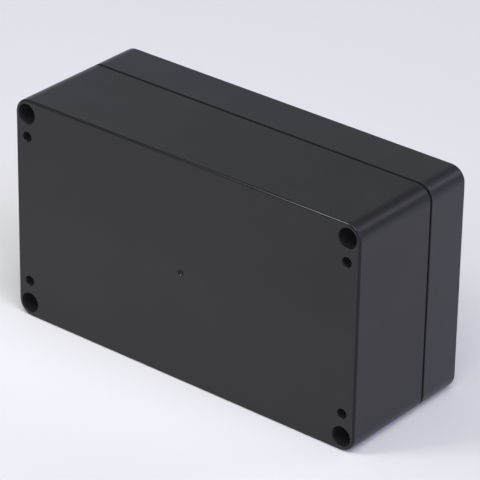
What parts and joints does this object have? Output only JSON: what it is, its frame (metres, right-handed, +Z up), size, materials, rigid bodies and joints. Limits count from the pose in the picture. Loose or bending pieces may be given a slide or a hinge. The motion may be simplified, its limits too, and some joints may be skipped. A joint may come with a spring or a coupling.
{
  "type": "plastic project box",
  "caption": "Rectangular moulded enclosure for electronics: a deep base with wall fixing holes in its back and a lid that screws on over a seal.",
  "frame": {"origin": "under the middle of the box, on the plane of the long side that it stands on", "axes": "+X along the length, +Y through the depth from the base's back to the lid's face, +Z up"},
  "size_m": [0.158, 0.0604, 0.0894],
  "materials": {
    "moulded_abs": "satin moulded, fine even texture",
    "seal_rubber": "matte",
    "insert_brass": "turned",
    "screw_steel": "bright zinc plated"
  },
  "bodies": {
    "base": {"base": "moulded_abs", "insert_top_left": "insert_brass", "insert_top_right": "insert_brass", "insert_bottom_left": "insert_brass", "insert_bottom_right": "insert_brass"},
    "lid": {"lid": "moulded_abs", "seal": "seal_rubber"},
    "lid_screw_top_left": {"lid_screw_top_left": "screw_steel"},
    "lid_screw_top_right": {"lid_screw_top_right": "screw_steel"},
    "lid_screw_bottom_left": {"lid_screw_bottom_left": "screw_steel"},
    "lid_screw_bottom_right": {"lid_screw_bottom_right": "screw_steel"}
  },
  "joints": [
    {"name": "lid_slide", "type": "slide", "parent": "base", "child": "lid", "axis": [0, 1, 0], "range_m": [0, 0.045]},
    {"name": "screw_top_left_slide", "type": "slide", "parent": "lid", "child": "lid_screw_top_left", "axis": [0, 1, 0], "range_m": [0, 0.025]},
    {"name": "screw_top_right_slide", "type": "slide", "parent": "lid", "child": "lid_screw_top_right", "axis": [0, 1, 0], "range_m": [0, 0.025]},
    {"name": "screw_bottom_left_slide", "type": "slide", "parent": "lid", "child": "lid_screw_bottom_left", "axis": [0, 1, 0], "range_m": [0, 0.025]},
    {"name": "screw_bottom_right_slide", "type": "slide", "parent": "lid", "child": "lid_screw_bottom_right", "axis": [0, 1, 0], "range_m": [0, 0.025]}
  ]
}
